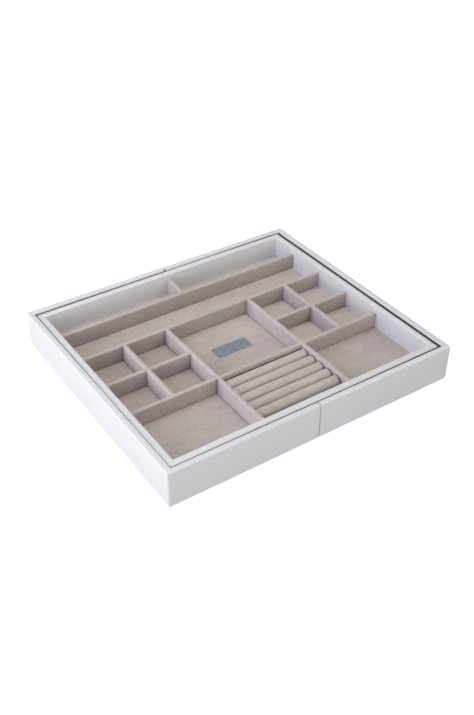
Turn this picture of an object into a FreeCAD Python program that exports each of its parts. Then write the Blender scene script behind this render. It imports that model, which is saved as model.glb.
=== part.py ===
import FreeCAD, Part
import os

# Expanding jewelry drawer tray. Millimetres, +Z up, origin at the middle of the footprint on the
# surface the tray stands on. +X is to the right along the long side, -Y is the front.

os.makedirs("parts", exist_ok=True)
V = FreeCAD.Vector

# ---------------------------------------------------------------- driving dimensions
W, D, H = 370.0, 326.0, 45.0        # closed tray, outside
TRAVEL = 90.0                       # each half pulls out this far
SEAM = 0.8                          # gap between the two halves when closed
SKIN = 1.0                          # leatherette wrap
BOARD_OUT = 4.8                     # board inside the outer walls
BOARD_SIDE, BOARD_IN = 5.2, 6.0     # boards inside the inner tray's side walls, and its front and back
FELT = 0.8                          # sheet under each half
BASE_TOP = 4.2                      # top of the outer base boards
LINING = 0.8                        # velvet inside the outer halves
LINING_TOP = 43.4                   # upper edge of the velvet on the outer walls
R_RIM = 1.4                         # rounded outer edges of the wraps
R_IN = 1.0                          # rounded inner edges of the wraps

TRAY_X = 175.1                      # half width of the inner tray, outside
TY0, TY1 = -153.2, 154.3            # its front and back faces: it sits a little towards the back
TRAY_BOTTOM, TRAY_TOP = 5.3, 43.2
TRAY_BASE_Z = 9.7                   # underside of the inner base board
TRAY_BASE_T = 4.0
FLOOR_TOP = 16.2                    # top of the velvet floor

DIV_T, DIV_TOP, R_DIV = 5.5, 36.7, 1.8   # dividers
VELVET = 1.0                        # velvet cover over a card core
Y_BACK_LONG = 108.5                 # front faces of the dividers that run along X
Y_SECOND_LONG = 53.0
Y_GRID = -2.5
Y_FRONT = -58.0
X_GRID_L, X_CENTRE_L = -116.5, -60.5     # left faces of the dividers that run along Y
X_CENTRE_R, X_GRID_R = 55.0, 111.0
X_SHORT = -DIV_T / 2

ROLLS = 5                           # ring rolls, with a finger slot in front of them
PITCH = 14.45
ROLL_GAP = 0.3
ROLL_TOP = 33.4
PAD_X = 53.4
PAD_Y1 = -58.3
PAD_Y0 = PAD_Y1 - ROLLS * PITCH
PAD_T = 2.0

PLATE_X, PLATE_Y, PLATE_T = 46.5, 18.2, 0.8   # bare plate on the floor
PLATE_CY = 3.9

RAIL_Y = 100.0                      # slide guides under the inner tray
RAIL_W = 18.0
STUD_X = 15.0
STUD_R, STUD_HEAD_R = 2.25, 4.1
CLEAR = 0.3
SCREW_R, SCREW_HEAD_R = 1.25, 2.5

tw = BOARD_OUT + 2 * SKIN
ti_x, ti_y = BOARD_SIDE + 2 * SKIN, BOARD_IN + 2 * SKIN
ix, iy0, iy1 = TRAY_X - ti_x, TY0 + ti_y, TY1 - ti_y   # inner faces of the inner tray
ox, oy = W / 2 - tw, D / 2 - tw     # inner faces of the outer shell


def box(x0, x1, y0, y1, z0, z1):
    return Part.makeBox(x1 - x0, y1 - y0, z1 - z0, V(x0, y0, z0))


def cyl(r, x, y, z0, z1):
    return Part.makeCylinder(r, z1 - z0, V(x, y, z0))


def cone(r0, r1, x, y, z0, z1):
    return Part.makeCone(r0, r1, z1 - z0, V(x, y, z0))


def mirror(shape):
    return shape.mirror(V(0, 0, 0), V(1, 0, 0))


def save(name, *shapes):
    for s in shapes:
        assert s.isValid(), name
    solids = [s for shape in shapes for s in shape.Solids]
    assert solids, name
    out = solids[0] if len(solids) == 1 else Part.makeCompound(solids)
    out.exportStep("parts/" + name + ".step")
    print("%-26s %2d solid(s) %9.1f mm3" % (name, len(solids), sum(s.Volume for s in solids)))


def edges(shape, test):
    """Straight edges whose two ends and middle all pass the test."""
    found = []
    for e in shape.Edges:
        pts = [v.Point for v in e.Vertexes] + [e.valueAt((e.FirstParameter + e.LastParameter) / 2)]
        if all(test(p) for p in pts):
            found.append(e)
    return found


def near(a, b):
    return abs(a - b) < 1e-4


# ---------------------------------------------------------------- outer shell, right half
x0 = SEAM / 2
x1, y1 = W / 2, D / 2
b0 = x0 + SKIN                       # boards start one skin behind the seam
end_board = box(x1 - SKIN - BOARD_OUT, x1 - SKIN, -(y1 - SKIN), y1 - SKIN, FELT, H - SKIN)
front_board = box(b0, x1 - SKIN - BOARD_OUT, -(y1 - SKIN), -(y1 - SKIN - BOARD_OUT), FELT, H - SKIN)
back_board = box(b0, x1 - SKIN - BOARD_OUT, y1 - SKIN - BOARD_OUT, y1 - SKIN, FELT, H - SKIN)

shell = box(x0, x1, -y1, y1, FELT, H).cut(box(x0 - 1, ox, -oy, oy, 0, H + 1))
outer = edges(shell, lambda p: near(p.x, x1) and near(abs(p.y), y1))
outer += edges(shell, lambda p: near(p.z, H) and (near(p.x, x1) or near(abs(p.y), y1)))
shell = shell.makeFillet(R_RIM, outer)
inner = edges(shell, lambda p: near(p.z, H) and (near(p.x, ox) or near(abs(p.y), oy)))
inner += edges(shell, lambda p: near(p.x, x0) and p.z > FELT + 1e-3)
inner += edges(shell, lambda p: near(p.x, x0) and near(abs(p.y), y1))
inner += edges(shell, lambda p: near(p.x, x0) and near(abs(p.y), oy))
unique = []
for e in inner:
    if not any(e.isSame(k) for k in unique):
        unique.append(e)
shell = shell.makeFillet(R_IN, unique)
cover = shell.cut(end_board).cut(front_board).cut(back_board)

stud_y = RAIL_Y
base = box(x0 + 0.1, ox, -oy, oy, FELT, BASE_TOP)
lining = box(x0 + 0.1, ox, -oy, oy, BASE_TOP, BASE_TOP + LINING)
studs, screws = [], []
stud_top, neck_top = 8.8, 7.1
for sy in (-stud_y, stud_y):
    base = base.cut(cyl(SCREW_R + 0.05, STUD_X, sy, 0, H))
    base = base.cut(cone(SCREW_HEAD_R + 0.05, SCREW_R + 0.05, STUD_X, sy, FELT, FELT + 1.5))
    lining = lining.cut(cyl(STUD_R + 0.05, STUD_X, sy, 0, H))
    stud = cyl(STUD_R, STUD_X, sy, BASE_TOP, neck_top).fuse(cyl(STUD_HEAD_R, STUD_X, sy, neck_top, stud_top))
    stud = stud.removeSplitter().cut(cyl(SCREW_R + 0.05, STUD_X, sy, 0, 7.9))
    studs.append(stud)
    screw = cone(SCREW_HEAD_R, SCREW_R, STUD_X, sy, FELT, FELT + 1.5)
    screw = screw.fuse(cyl(SCREW_R, STUD_X, sy, FELT + 1.5, 7.7)).removeSplitter()
    drive = box(STUD_X - 1.4, STUD_X + 1.4, sy - 0.3, sy + 0.3, FELT - 1, FELT + 0.8)
    drive = drive.fuse(box(STUD_X - 0.3, STUD_X + 0.3, sy - 1.4, sy + 1.4, FELT - 1, FELT + 0.8))
    screws.append(screw.cut(drive))
wall_lining = box(x0 + 1.5, ox, -oy, oy, BASE_TOP + LINING, LINING_TOP)
wall_lining = wall_lining.cut(box(x0, ox - LINING, -(oy - LINING), oy - LINING, 0, H))
felt = box(x0 + 0.1, x1 - 1.5, -(y1 - 1.5), y1 - 1.5, 0, FELT)
corner = edges(felt, lambda p: near(p.x, x1 - 1.5) and near(abs(p.y), y1 - 1.5))
felt = felt.makeFillet(1.5, corner)

half = {
    "end_board": [end_board], "front_board": [front_board], "back_board": [back_board],
    "base_board": [base], "cover": [cover], "base_lining": [lining], "wall_lining": [wall_lining],
    "underside_felt": [felt],
    "guide_studs": studs, "stud_screws": screws,
}
for name, shapes in half.items():
    save("right_" + name, *shapes)
    save("left_" + name, *[mirror(s) for s in shapes])

# ---------------------------------------------------------------- inner tray
wall_top = TRAY_TOP - SKIN
bx, by0, by1 = TRAY_X - SKIN, TY0 + SKIN, TY1 - SKIN
boards = {
    "inner_left_board": box(-bx, -(bx - BOARD_SIDE), by0, by1, TRAY_BOTTOM, wall_top),
    "inner_right_board": box(bx - BOARD_SIDE, bx, by0, by1, TRAY_BOTTOM, wall_top),
    "inner_front_board": box(-(bx - BOARD_SIDE), bx - BOARD_SIDE, by0, by0 + BOARD_IN, TRAY_BOTTOM, wall_top),
    "inner_back_board": box(-(bx - BOARD_SIDE), bx - BOARD_SIDE, by1 - BOARD_IN, by1, TRAY_BOTTOM, wall_top),
}
ring = box(-TRAY_X, TRAY_X, TY0, TY1, TRAY_BOTTOM, TRAY_TOP).cut(box(-ix, ix, iy0, iy1, 0, H + 1))


def on_outside(p):
    return near(abs(p.x), TRAY_X) or near(p.y, TY0) or near(p.y, TY1)


def on_inside(p):
    return (near(abs(p.x), ix) or near(p.y, iy0) or near(p.y, iy1)) and abs(p.x) < ix + 0.01 and iy0 - 0.01 < p.y < iy1 + 0.01


out_e = edges(ring, lambda p: near(abs(p.x), TRAY_X) and (near(p.y, TY0) or near(p.y, TY1)))
out_e += edges(ring, lambda p: near(p.z, TRAY_TOP) and on_outside(p))
ring = ring.makeFillet(R_RIM, out_e)
in_e = edges(ring, lambda p: near(p.z, TRAY_TOP) and on_inside(p))
ring = ring.makeFillet(R_IN, in_e)
for name, b in boards.items():
    ring = ring.cut(b)
    save(name, b)
save("inner_cover", ring)

rail_slot = STUD_X + TRAVEL + STUD_R + 0.35
rail_cavity = STUD_X + TRAVEL + STUD_HEAD_R + 0.35
rail_half = rail_cavity + 12.0
screw_x = rail_cavity + 6.0
lip_top = neck_top - CLEAR
web_bottom = stud_top + CLEAR
base_in = box(-ix, ix, iy0, iy1, TRAY_BASE_Z, TRAY_BASE_Z + TRAY_BASE_T)
rail_screws = []
for name, ry in (("guide_rail_front", -RAIL_Y), ("guide_rail_back", RAIL_Y)):
    rail = box(-rail_half, rail_half, ry - RAIL_W / 2, ry + RAIL_W / 2, TRAY_BOTTOM, TRAY_BASE_Z)
    rail = rail.cut(box(-rail_slot, rail_slot, ry - STUD_R - CLEAR, ry + STUD_R + CLEAR, 0, lip_top))
    rail = rail.cut(box(-rail_cavity, rail_cavity, ry - STUD_HEAD_R - CLEAR, ry + STUD_HEAD_R + CLEAR, lip_top, web_bottom))
    for sx in (-screw_x, screw_x):
        rail = rail.cut(cyl(SCREW_R + 0.05, sx, ry, 0, H))
        rail = rail.cut(cone(SCREW_HEAD_R + 0.05, SCREW_R + 0.05, sx, ry, TRAY_BOTTOM, TRAY_BOTTOM + 1.5))
        base_in = base_in.cut(cyl(SCREW_R + 0.05, sx, ry, 0, 12.9))
        s = cone(SCREW_HEAD_R, SCREW_R, sx, ry, TRAY_BOTTOM, TRAY_BOTTOM + 1.5)
        s = s.fuse(cyl(SCREW_R, sx, ry, TRAY_BOTTOM + 1.5, 12.7)).removeSplitter()
        drive = box(sx - 1.4, sx + 1.4, ry - 0.3, ry + 0.3, TRAY_BOTTOM - 1, TRAY_BOTTOM + 0.8)
        drive = drive.fuse(box(sx - 0.3, sx + 0.3, ry - 1.4, ry + 1.4, TRAY_BOTTOM - 1, TRAY_BOTTOM + 0.8))
        rail_screws.append(s.cut(drive))
    save(name, rail)
save("rail_screws", *rail_screws)
save("inner_base_board", base_in)
save("velvet_floor", box(-ix, ix, iy0, iy1, TRAY_BASE_Z + TRAY_BASE_T, FLOOR_TOP))

# ---------------------------------------------------------------- dividers
MID_Z = (FLOOR_TOP + DIV_TOP) / 2


def divider(xa, xb, ya, yb, along):
    """A velvet cover with a rounded top over a card core, standing on the floor."""
    full = box(xa, xb, ya, yb, FLOOR_TOP, DIV_TOP)
    if along == "x":
        top = edges(full, lambda p: near(p.z, DIV_TOP) and (near(p.y, ya) or near(p.y, yb)) and xa - 1 < p.x < xb + 1)
        top = [e for e in top if e.Length > abs(xb - xa) - 1e-3]
        core = box(xa, xb, ya + VELVET, yb - VELVET, FLOOR_TOP, DIV_TOP - VELVET)
    else:
        top = edges(full, lambda p: near(p.z, DIV_TOP) and (near(p.x, xa) or near(p.x, xb)))
        top = [e for e in top if e.Length > abs(yb - ya) - 1e-3]
        core = box(xa + VELVET, xb - VELVET, ya, yb, FLOOR_TOP, DIV_TOP - VELVET)
    full = full.makeFillet(R_DIV, top)
    # the card's top edges are eased under the rounded velvet
    rc = 1.2
    if along == "x":
        ce = [e for e in edges(core, lambda p: near(p.z, DIV_TOP - VELVET)) if e.Length > abs(xb - xa) - 1e-3]
    else:
        ce = [e for e in edges(core, lambda p: near(p.z, DIV_TOP - VELVET)) if e.Length > abs(yb - ya) - 1e-3]
    core = core.makeFillet(rc, ce)
    return full.cut(core), core


def t(v):
    return v + DIV_T


Y_SECOND_B, Y_FRONT_B, Y_GRID_B = t(Y_SECOND_LONG), t(Y_FRONT), t(Y_GRID)
pieces = {}
pieces["back_long_divider"] = divider(-ix, ix, Y_BACK_LONG, t(Y_BACK_LONG), "x")
pieces["second_long_divider"] = divider(-ix, ix, Y_SECOND_LONG, Y_SECOND_B, "x")
pieces["back_short_divider"] = divider(X_SHORT, t(X_SHORT), t(Y_BACK_LONG), iy1, "y")
pieces["centre_left_divider"] = divider(X_CENTRE_L, t(X_CENTRE_L), iy0, Y_SECOND_LONG, "y")
pieces["centre_right_divider"] = divider(X_CENTRE_R, t(X_CENTRE_R), iy0, Y_SECOND_LONG, "y")
pieces["left_front_divider"] = divider(-ix, X_CENTRE_L, Y_FRONT, Y_FRONT_B, "x")
pieces["right_front_divider"] = divider(t(X_CENTRE_R), ix, Y_FRONT, Y_FRONT_B, "x")
pieces["ring_divider"] = divider(t(X_CENTRE_L), X_CENTRE_R, Y_FRONT, Y_FRONT_B, "x")
pieces["left_grid_cross_divider"] = divider(-ix, X_CENTRE_L, Y_GRID, Y_GRID_B, "x")
pieces["right_grid_cross_divider"] = divider(t(X_CENTRE_R), ix, Y_GRID, Y_GRID_B, "x")
pieces["left_grid_mid_divider"] = divider(X_GRID_L, t(X_GRID_L), Y_FRONT_B, Y_SECOND_LONG, "y")
pieces["right_grid_mid_divider"] = divider(X_GRID_R, t(X_GRID_R), Y_FRONT_B, Y_SECOND_LONG, "y")

# half-lap crossings: the cross divider is notched from the top, the mid divider from below
for side, gx in (("left", X_GRID_L), ("right", X_GRID_R)):
    top_notch = box(gx, t(gx), Y_GRID - 1, Y_GRID_B + 1, MID_Z, H)
    low_notch = box(gx - 1, t(gx) + 1, Y_GRID, Y_GRID_B, 0, MID_Z)
    for name, notch in ((side + "_grid_cross_divider", top_notch), (side + "_grid_mid_divider", low_notch)):
        pieces[name] = tuple(s.cut(notch) for s in pieces[name])

for name, (velvet, core) in pieces.items():
    save(name, velvet)
cores = {
    "long_divider_cores": ["back_long_divider", "second_long_divider"],
    "back_short_divider_core": ["back_short_divider"],
    "centre_divider_cores": ["centre_left_divider", "centre_right_divider"],
    "front_divider_cores": ["left_front_divider", "right_front_divider"],
    "ring_divider_core": ["ring_divider"],
    "grid_cross_divider_cores": ["left_grid_cross_divider", "right_grid_cross_divider"],
    "grid_mid_divider_cores": ["left_grid_mid_divider", "right_grid_mid_divider"],
}
for name, members in cores.items():
    save(name, *[pieces[m][1] for m in members])

# ---------------------------------------------------------------- ring section
pad_top = FLOOR_TOP + PAD_T
save("ring_pad_base", box(-PAD_X, PAD_X, PAD_Y0, PAD_Y1, FLOOR_TOP, pad_top))


def roll(cy, r, xa, xb, z0, zc):
    """A strip with straight sides and a half-round top, running along X."""
    p = [V(xa, cy - r, z0), V(xa, cy - r, zc), V(xa, cy, zc + r), V(xa, cy + r, zc), V(xa, cy + r, z0)]
    wire = Part.Wire([Part.LineSegment(p[0], p[1]).toShape(), Part.Arc(p[1], p[2], p[3]).toShape(),
                      Part.LineSegment(p[3], p[4]).toShape(), Part.LineSegment(p[4], p[0]).toShape()])
    return Part.Face(wire).extrude(V(xb - xa, 0, 0))


roll_r = (PITCH - ROLL_GAP) / 2
roll_zc = ROLL_TOP - roll_r
foams = []
for i in range(ROLLS):
    cy = PAD_Y1 - PITCH * (i + 0.5)
    velvet = roll(cy, roll_r, -PAD_X, PAD_X, pad_top, roll_zc)
    ends = [e for e in velvet.Edges if e.BoundBox.XLength < 1e-4 and e.BoundBox.ZMax > pad_top + 1]
    velvet = velvet.makeFillet(1.2, ends)
    foam = roll(cy, roll_r - VELVET, -PAD_X + VELVET, PAD_X - VELVET, pad_top, roll_zc)
    velvet = velvet.cut(foam)
    foams.append(foam)
    save("ring_roll_%d" % (i + 1), velvet)
save("ring_roll_foam", *foams)

plate = box(-PLATE_X / 2, PLATE_X / 2, PLATE_CY - PLATE_Y / 2, PLATE_CY + PLATE_Y / 2, FLOOR_TOP, FLOOR_TOP + PLATE_T)
plate = plate.makeFillet(0.8, [e for e in plate.Edges if e.BoundBox.ZLength > PLATE_T - 1e-3])
plate = plate.makeFillet(0.25, [e for e in plate.Edges if e.BoundBox.ZMin > FLOOR_TOP + PLATE_T - 1e-3])
save("label_plate", plate)
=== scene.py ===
import bpy, bmesh, math
import numpy as np
from mathutils import Vector, Matrix, noise


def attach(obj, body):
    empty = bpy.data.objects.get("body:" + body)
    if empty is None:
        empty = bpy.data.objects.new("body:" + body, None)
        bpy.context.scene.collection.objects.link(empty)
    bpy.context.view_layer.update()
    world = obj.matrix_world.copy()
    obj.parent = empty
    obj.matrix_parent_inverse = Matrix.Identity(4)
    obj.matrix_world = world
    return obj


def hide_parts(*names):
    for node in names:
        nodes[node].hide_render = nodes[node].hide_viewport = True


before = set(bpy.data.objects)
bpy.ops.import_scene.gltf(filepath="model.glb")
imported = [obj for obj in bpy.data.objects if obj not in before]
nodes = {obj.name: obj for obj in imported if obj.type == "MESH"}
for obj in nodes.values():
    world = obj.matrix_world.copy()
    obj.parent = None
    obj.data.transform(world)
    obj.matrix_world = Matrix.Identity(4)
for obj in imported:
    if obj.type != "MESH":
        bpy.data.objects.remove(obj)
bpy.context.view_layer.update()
scene = bpy.context.scene
MM = 0.001

# =====================================================================================================
# camera: fitted to the tray's corners in a 474 x 715 frame
# =====================================================================================================
cam_data = bpy.data.cameras.new("camera")
cam_data.sensor_fit = "AUTO"
cam_data.sensor_width = 36.0
cam_data.lens = 926.30 * 36.0 / 715.0
cam_data.clip_start, cam_data.clip_end = 0.01, 50.0
cam = bpy.data.objects.new("camera", cam_data)
scene.collection.objects.link(cam)
fwd = Vector((0.44920553, 0.65981056, -0.60238228)).normalized()
right0 = fwd.cross(Vector((0, 0, 1))).normalized()
up0 = right0.cross(fwd).normalized()
roll = math.radians(0.388)
right = right0 * math.cos(roll) + up0 * math.sin(roll)
up = right.cross(fwd).normalized()
rot = Matrix((right, up, -fwd)).transposed()
cam.matrix_world = Matrix.Translation(Vector((-0.48665, -0.72174, 0.66118))) @ rot.to_4x4()
scene.camera = cam

# =====================================================================================================
# small mesh kit (millimetres in, metres out)
# =====================================================================================================


def fbm(p, scale, seed=0.0, octaves=2):
    """Smooth signed noise at points p (mm), feature size about `scale` mm."""
    q = np.asarray(p, float) / scale + seed
    out = np.zeros(len(q))
    amp, f, tot = 1.0, 1.0, 0.0
    for _ in range(octaves):
        out += amp * np.array([noise.noise(Vector(v * f)) for v in q])
        tot += amp
        amp, f = amp * 0.5, f * 2.0
    return out / tot


def add_object(name, verts, faces, mat, body, replaces=(), smooth_angle=None):
    me = bpy.data.meshes.new(name)
    me.from_pydata([tuple(v) for v in np.asarray(verts, float) * MM], [], [tuple(int(i) for i in f) for f in faces])
    bm = bmesh.new()
    bm.from_mesh(me)
    bmesh.ops.recalc_face_normals(bm, faces=bm.faces[:])
    big = [f for f in bm.faces if len(f.verts) > 4]
    if big:
        bmesh.ops.triangulate(bm, faces=big)
    for f in bm.faces:
        f.smooth = True
    if smooth_angle is not None:
        for e in bm.edges:
            if len(e.link_faces) == 2 and e.calc_face_angle(0.0) > math.radians(smooth_angle):
                e.smooth = False
    bm.to_mesh(me)
    bm.free()
    me.materials.append(mat)
    ob = bpy.data.objects.new(name, me)
    scene.collection.objects.link(ob)
    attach(ob, body)
    if replaces:
        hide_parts(*replaces)
    return ob


def grid_faces(rows, cols, close_cols=False, close_rows=False):
    fs = []
    for i in range(rows if close_rows else rows - 1):
        for j in range(cols if close_cols else cols - 1):
            a, b = i * cols + j, i * cols + (j + 1) % cols
            c, d = ((i + 1) % rows) * cols + (j + 1) % cols, ((i + 1) % rows) * cols + j
            fs.append((a, b, c, d))
    return fs


def arc(cx, cy, r, a0, a1, n):
    t = np.radians(np.linspace(a0, a1, n + 1))
    return [(cx + r * math.cos(v), cy + r * math.sin(v)) for v in t]


def line(p, q, n):
    """Points from p to q, both left out, n spans."""
    return [(p[0] + (q[0] - p[0]) * k / n, p[1] + (q[1] - p[1]) * k / n) for k in range(1, n)]


def wall_profile(thick, z0, z1, r_bot, r_out, r_in, inset=0.0):
    """Closed section of a wrapped wall: (d, z), d from the outer face inwards."""
    lo, hi, a, b = inset, thick - inset, z0 + inset, z1 - inset
    rb, ro, ri = (max(r - inset, 0.06) for r in (r_bot, r_out, r_in))
    p = arc(lo + rb, a + rb, rb, 270, 180, 3)
    p += line((lo, a + rb), (lo, b - ro), 8)
    p += arc(lo + ro, b - ro, ro, 180, 90, 8)
    p += line((lo + ro, b), (hi - ri, b), 3)
    p += arc(hi - ri, b - ri, ri, 90, 0, 6)
    p += line((hi, b - ri), (hi, a), 8)
    p += [(hi, a)]
    p += line((hi, a), (lo + rb, a), 3)
    return p


def corner_radius(d, r_corner, r_min):
    return max(r_corner - d, r_min)


# =====================================================================================================
# materials
# =====================================================================================================


def nt(name):
    m = bpy.data.materials.new(name)
    m.use_nodes = True
    t = m.node_tree
    for n in list(t.nodes):
        t.nodes.remove(n)
    out = t.nodes.new("ShaderNodeOutputMaterial")
    bsdf = t.nodes.new("ShaderNodeBsdfPrincipled")
    t.links.new(bsdf.outputs[0], out.inputs[0])
    return m, t, bsdf


class Tree:
    """Short hand for wiring a procedural material."""

    def __init__(self, name):
        self.mat, self.t, self.bsdf = nt(name)
        tc = self.t.nodes.new("ShaderNodeTexCoord")
        self.co = tc.outputs["Object"]
        self.normal = tc.outputs["Normal"]

    def node(self, kind, **kw):
        n = self.t.nodes.new(kind)
        for k, v in kw.items():
            setattr(n, k, v)
        return n

    def link(self, a, b):
        self.t.links.new(a, b)

    def mapping(self, scale=(1, 1, 1), rot=(0, 0, 0), loc=(0, 0, 0)):
        n = self.node("ShaderNodeMapping")
        n.inputs["Scale"].default_value = scale
        n.inputs["Rotation"].default_value = rot
        n.inputs["Location"].default_value = loc
        self.link(self.co, n.inputs["Vector"])
        return n.outputs["Vector"]

    def noise(self, scale, detail=2.0, rough=0.5, dist=0.0, vec=None):
        n = self.node("ShaderNodeTexNoise")
        n.inputs["Scale"].default_value = scale
        n.inputs["Detail"].default_value = detail
        n.inputs["Roughness"].default_value = rough
        n.inputs["Distortion"].default_value = dist
        self.link(vec or self.co, n.inputs["Vector"])
        return n.outputs["Fac"]

    def voronoi(self, scale, feature="F1", vec=None, smooth=0.3):
        n = self.node("ShaderNodeTexVoronoi", feature=feature)
        n.inputs["Scale"].default_value = scale
        if feature == "SMOOTH_F1":
            n.inputs["Smoothness"].default_value = smooth
        self.link(vec or self.co, n.inputs["Vector"])
        return n.outputs["Distance"]

    def ramp(self, fac, lo, hi, a=0.0, b=1.0):
        n = self.node("ShaderNodeMapRange")
        n.inputs["From Min"].default_value = lo
        n.inputs["From Max"].default_value = hi
        n.inputs["To Min"].default_value = a
        n.inputs["To Max"].default_value = b
        self.link(fac, n.inputs["Value"])
        return n.outputs["Result"]

    def math(self, op, a, b):
        n = self.node("ShaderNodeMath", operation=op)
        for i, v in enumerate((a, b)):
            if isinstance(v, (int, float)):
                n.inputs[i].default_value = v
            else:
                self.link(v, n.inputs[i])
        return n.outputs[0]

    def mix(self, fac, a, b, blend="MIX"):
        n = self.node("ShaderNodeMix", data_type="RGBA", blend_type=blend)
        if isinstance(fac, (int, float)):
            n.inputs["Factor"].default_value = fac
        else:
            self.link(fac, n.inputs["Factor"])
        for key, v in (("A", a), ("B", b)):
            sock = [s for s in n.inputs if s.name == key and s.type == "RGBA"][0]
            if isinstance(v, tuple):
                sock.default_value = (*v, 1.0) if len(v) == 3 else v
            else:
                self.link(v, sock)
        return [s for s in n.outputs if s.type == "RGBA"][0]

    def bump(self, height, strength, distance, normal=None):
        n = self.node("ShaderNodeBump")
        n.inputs["Strength"].default_value = strength
        n.inputs["Distance"].default_value = distance
        self.link(height, n.inputs["Height"])
        if normal is not None:
            self.link(normal, n.inputs["Normal"])
        return n.outputs["Normal"]

    def set(self, **kw):
        for k, v in kw.items():
            s = self.bsdf.inputs[k.replace("_", " ")]
            if isinstance(v, (int, float)):
                s.default_value = v
            elif isinstance(v, tuple):
                s.default_value = (*v, 1.0) if len(v) == 3 else v
            else:
                self.link(v, s)


def leatherette(name, gap_shade=None, seam=None):
    """Embossed leatherette; gap_shade = (y, z, tint) is painted shade on the strip in front of y and just below z,
    where the face lies in the narrow gap by the lining, and seam = (x, y, tint) painted shade in the inner part of the
    back joint, within x of the middle and in front of y."""
    t = Tree(name)
    big = t.noise(9.0, 2.0)
    mid = t.noise(120.0, 3.0, 0.6)
    col = t.mix(t.ramp(big, 0.3, 0.7), (0.80, 0.80, 0.808), (0.835, 0.835, 0.845))
    col = t.mix(t.ramp(mid, 0.35, 0.75, 0.0, 0.35), col, (0.775, 0.772, 0.775))
    hue = t.noise(75.0, 2.0, 0.55, 0.6)
    col = t.mix(t.ramp(hue, 0.40, 0.70, 0.0, 0.45), col, (0.800, 0.785, 0.812))
    sep = t.node("ShaderNodeSeparateXYZ")
    t.link(t.normal, sep.inputs[0])
    up = sep.outputs[2]
    pore = t.noise(620.0, 2.0, 0.6)
    col = t.mix(t.ramp(pore, 0.40, 0.70, 0.0, 0.50), col, (0.765, 0.765, 0.772))
    # painted highlight: rounded top edges are made lighter
    edge_highlight = t.math("MULTIPLY", t.ramp(up, 0.30, 0.62), t.ramp(up, 0.985, 0.80))
    col = t.mix(t.math("MULTIPLY", edge_highlight, 0.55), col, (0.93, 0.93, 0.935))
    # painted light: faces turned up are made a little lighter
    col = t.mix(t.ramp(up, 0.965, 0.998), col, (1.032, 1.032, 1.032), "MULTIPLY")
    if seam:
        x, y, tint = seam
        pos = t.node("ShaderNodeSeparateXYZ")
        t.link(t.co, pos.inputs[0])
        off = t.node("ShaderNodeMath", operation="ABSOLUTE")
        t.link(pos.outputs[0], off.inputs[0])
        # painted shade: the slot of the back joint is darkened nearly to black
        fac = t.math("MULTIPLY", t.ramp(off.outputs[0], (x + 0.4) * MM, (x - 0.4) * MM), t.ramp(pos.outputs[1], 0.0, 0.1))
        fac = t.math("MULTIPLY", fac, t.ramp(pos.outputs[1], (y + 2.0) * MM, (y - 2.0) * MM))
        col = t.mix(fac, col, tint, "MULTIPLY")
        # painted shade: the tops of the side walls are darker at one end, the left wall's at the back and the right
        # wall's at the front
        rim = t.math("MULTIPLY", t.ramp(up, 0.965, 0.998), t.ramp(off.outputs[0], 0.1765, 0.1795))
        turn = t.math("MULTIPLY", pos.outputs[0], pos.outputs[1])
        col = t.mix(t.math("MULTIPLY", rim, t.ramp(turn, 0.0234, -0.0234)), col, (0.92, 0.93, 0.94), "MULTIPLY")
    if gap_shade:
        y, z, tint = gap_shade
        pos = t.node("ShaderNodeSeparateXYZ")
        t.link(t.co, pos.inputs[0])
        # painted shade on the tray's front outer face in the narrow gap, stronger to the right, fading out lower down
        fac = t.math("MULTIPLY", t.ramp(pos.outputs[1], (y + 0.2) * MM, y * MM), t.ramp(pos.outputs[2], z * MM, (z - 0.5) * MM))
        fac = t.math("MULTIPLY", fac, t.ramp(pos.outputs[0], -0.18, 0.16, 0.05, 1.0))
        fac = t.math("MULTIPLY", fac, t.ramp(pos.outputs[2], (z - 6.5) * MM, (z - 2.2) * MM))
        col = t.mix(fac, col, tint, "MULTIPLY")
        # painted light and shade: the tops of the front and left rims are lighter towards the front left corner and
        # darker away from it
        near = t.math("MAXIMUM", t.ramp(pos.outputs[1], -0.125, -0.145), t.ramp(pos.outputs[0], -0.155, -0.168))
        near = t.math("MULTIPLY", near, t.ramp(up, 0.965, 0.998))
        col = t.mix(near, col, t.ramp(t.math("ADD", pos.outputs[0], pos.outputs[1]), -0.30, 0.0, 1.055, 0.965), "MULTIPLY")
    grain = t.voronoi(1250.0, "SMOOTH_F1", smooth=0.5)
    fine = t.noise(3200.0, 2.0)
    swell = t.noise(60.0, 2.0)
    n = t.bump(swell, 0.35, 0.0006)
    n = t.bump(grain, 0.36, 0.00014, n)
    n = t.bump(fine, 0.18, 0.00006, n)
    rough = t.math("ADD", t.ramp(grain, 0.0, 0.6, 0.40, 0.52), t.ramp(mid, 0.3, 0.7, -0.03, 0.04))
    t.set(Base_Color=col, Roughness=rough, Normal=n, IOR=1.45)
    return t.mat


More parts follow.
